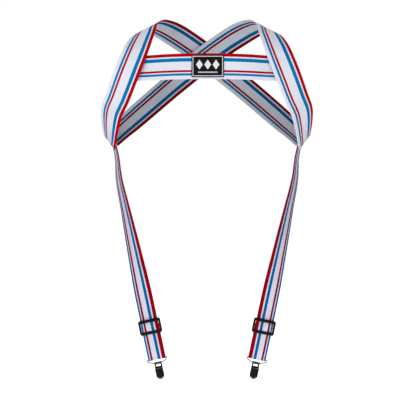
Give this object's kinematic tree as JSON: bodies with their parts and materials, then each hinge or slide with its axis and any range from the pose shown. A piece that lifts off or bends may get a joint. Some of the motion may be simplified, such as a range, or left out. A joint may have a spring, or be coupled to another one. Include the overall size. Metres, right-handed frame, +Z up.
{
  "type": "suspenders",
  "caption": "Elastic shoulder harness suspenders with striped webbing, chest band, crossed back and adjustable leg straps ending in lever clips.",
  "frame": {"origin": "midway between the two shoulder crests, on the level of the webbing's underside there", "axes": "+X to the viewer's right, the front faces -Y, +Z up"},
  "size_m": [0.4118, 0.242, 0.7077],
  "materials": {
    "webbing": "woven striped elastic, white with red and blue stripes",
    "leg_webbing": "woven striped elastic, narrower",
    "label": "satin woven label, black with pale border",
    "slider": "black moulded, softly glossy",
    "ring": "bright plated wire",
    "clip": "black nickel plated sheet steel",
    "pin": "plated steel rivet",
    "pad": "matt moulded teeth"
  },
  "bodies": {
    "harness": {"left_shoulder_strap": "webbing", "right_shoulder_strap": "webbing", "chest_band": "webbing", "woven_label": "label"},
    "left_leg": {"left_leg_webbing": "leg_webbing"},
    "left_slider": {"left_slider_frame": "slider", "left_sewn_tail": "leg_webbing"},
    "left_loop": {"left_ring_loop": "leg_webbing"},
    "left_ring": {"left_wire_ring": "ring"},
    "left_clip": {"left_clip_back_plate": "clip", "left_pivot_pin": "pin", "left_back_pad": "pad"},
    "left_lever": {"left_clip_lever": "clip"},
    "left_jaw": {"left_front_jaw": "clip", "left_front_pad": "pad"},
    "right_leg": {"right_leg_webbing": "leg_webbing"},
    "right_slider": {"right_slider_frame": "slider", "right_sewn_tail": "leg_webbing"},
    "right_loop": {"right_ring_loop": "leg_webbing"},
    "right_ring": {"right_wire_ring": "ring"},
    "right_clip": {"right_clip_back_plate": "clip", "right_pivot_pin": "pin", "right_back_pad": "pad"},
    "right_lever": {"right_clip_lever": "clip"},
    "right_jaw": {"right_front_jaw": "clip", "right_front_pad": "pad"}
  },
  "joints": [
    {"name": "left_leg_swing", "type": "hinge", "parent": "harness", "child": "left_leg", "pos_m": [-0.1805, -0.0115, -0.251], "axis": [-1, 0, 0], "range_deg": [-15, 17]},
    {"name": "left_slider_slide", "type": "slide", "parent": "left_leg", "child": "left_slider", "axis": [-0.2057, 0, 0.9786], "range_m": [-0.03, 0.04]},
    {"name": "left_loop_rise", "type": "slide", "parent": "left_slider", "child": "left_loop", "axis": [-0.2057, 0, 0.9786], "range_m": [-0.02, 0.015]},
    {"name": "left_ring_swing", "type": "hinge", "parent": "left_loop", "child": "left_ring", "pos_m": [-0.0979, -0.008, -0.6655], "axis": [-0.9786, 0, -0.2057], "range_deg": [-40, 40]},
    {"name": "left_clip_swing", "type": "hinge", "parent": "left_ring", "child": "left_clip", "pos_m": [-0.09617, -0.008, -0.67372], "axis": [-0.9786, 0, -0.2057], "range_deg": [-50, 50]},
    {"name": "left_lever_flip", "type": "hinge", "parent": "left_clip", "child": "left_lever", "pos_m": [-0.09368, -0.01, -0.68556], "axis": [-0.9786, 0, -0.2057], "range_deg": [0, 90]},
    {"name": "left_jaw_open", "type": "hinge", "parent": "left_clip", "child": "left_jaw", "pos_m": [-0.09368, -0.01, -0.68556], "axis": [-0.9786, 0, -0.2057], "range_deg": [0, 14]},
    {"name": "right_leg_swing", "type": "hinge", "parent": "harness", "child": "right_leg", "pos_m": [0.1805, -0.0115, -0.251], "axis": [-1, 0, 0], "range_deg": [-15, 17]},
    {"name": "right_slider_slide", "type": "slide", "parent": "right_leg", "child": "right_slider", "axis": [0.2057, 0, 0.9786], "range_m": [-0.03, 0.04]},
    {"name": "right_loop_rise", "type": "slide", "parent": "right_slider", "child": "right_loop", "axis": [0.2057, 0, 0.9786], "range_m": [-0.02, 0.015]},
    {"name": "right_ring_swing", "type": "hinge", "parent": "right_loop", "child": "right_ring", "pos_m": [0.0979, -0.008, -0.6655], "axis": [-0.9786, 0, 0.2057], "range_deg": [-40, 40]},
    {"name": "right_clip_swing", "type": "hinge", "parent": "right_ring", "child": "right_clip", "pos_m": [0.09617, -0.008, -0.67372], "axis": [-0.9786, 0, 0.2057], "range_deg": [-50, 50]},
    {"name": "right_lever_flip", "type": "hinge", "parent": "right_clip", "child": "right_lever", "pos_m": [0.09368, -0.01, -0.68556], "axis": [-0.9786, 0, 0.2057], "range_deg": [0, 90]},
    {"name": "right_jaw_open", "type": "hinge", "parent": "right_clip", "child": "right_jaw", "pos_m": [0.09368, -0.01, -0.68556], "axis": [-0.9786, 0, 0.2057], "range_deg": [0, 14]}
  ],
  "couplings": [
    {"joint": "left_loop_rise", "follows": "left_slider_slide", "ratio": -0.5},
    {"joint": "left_jaw_open", "follows": "left_lever_flip", "ratio": 0.12},
    {"joint": "right_loop_rise", "follows": "right_slider_slide", "ratio": -0.5},
    {"joint": "right_jaw_open", "follows": "right_lever_flip", "ratio": 0.12}
  ]
}
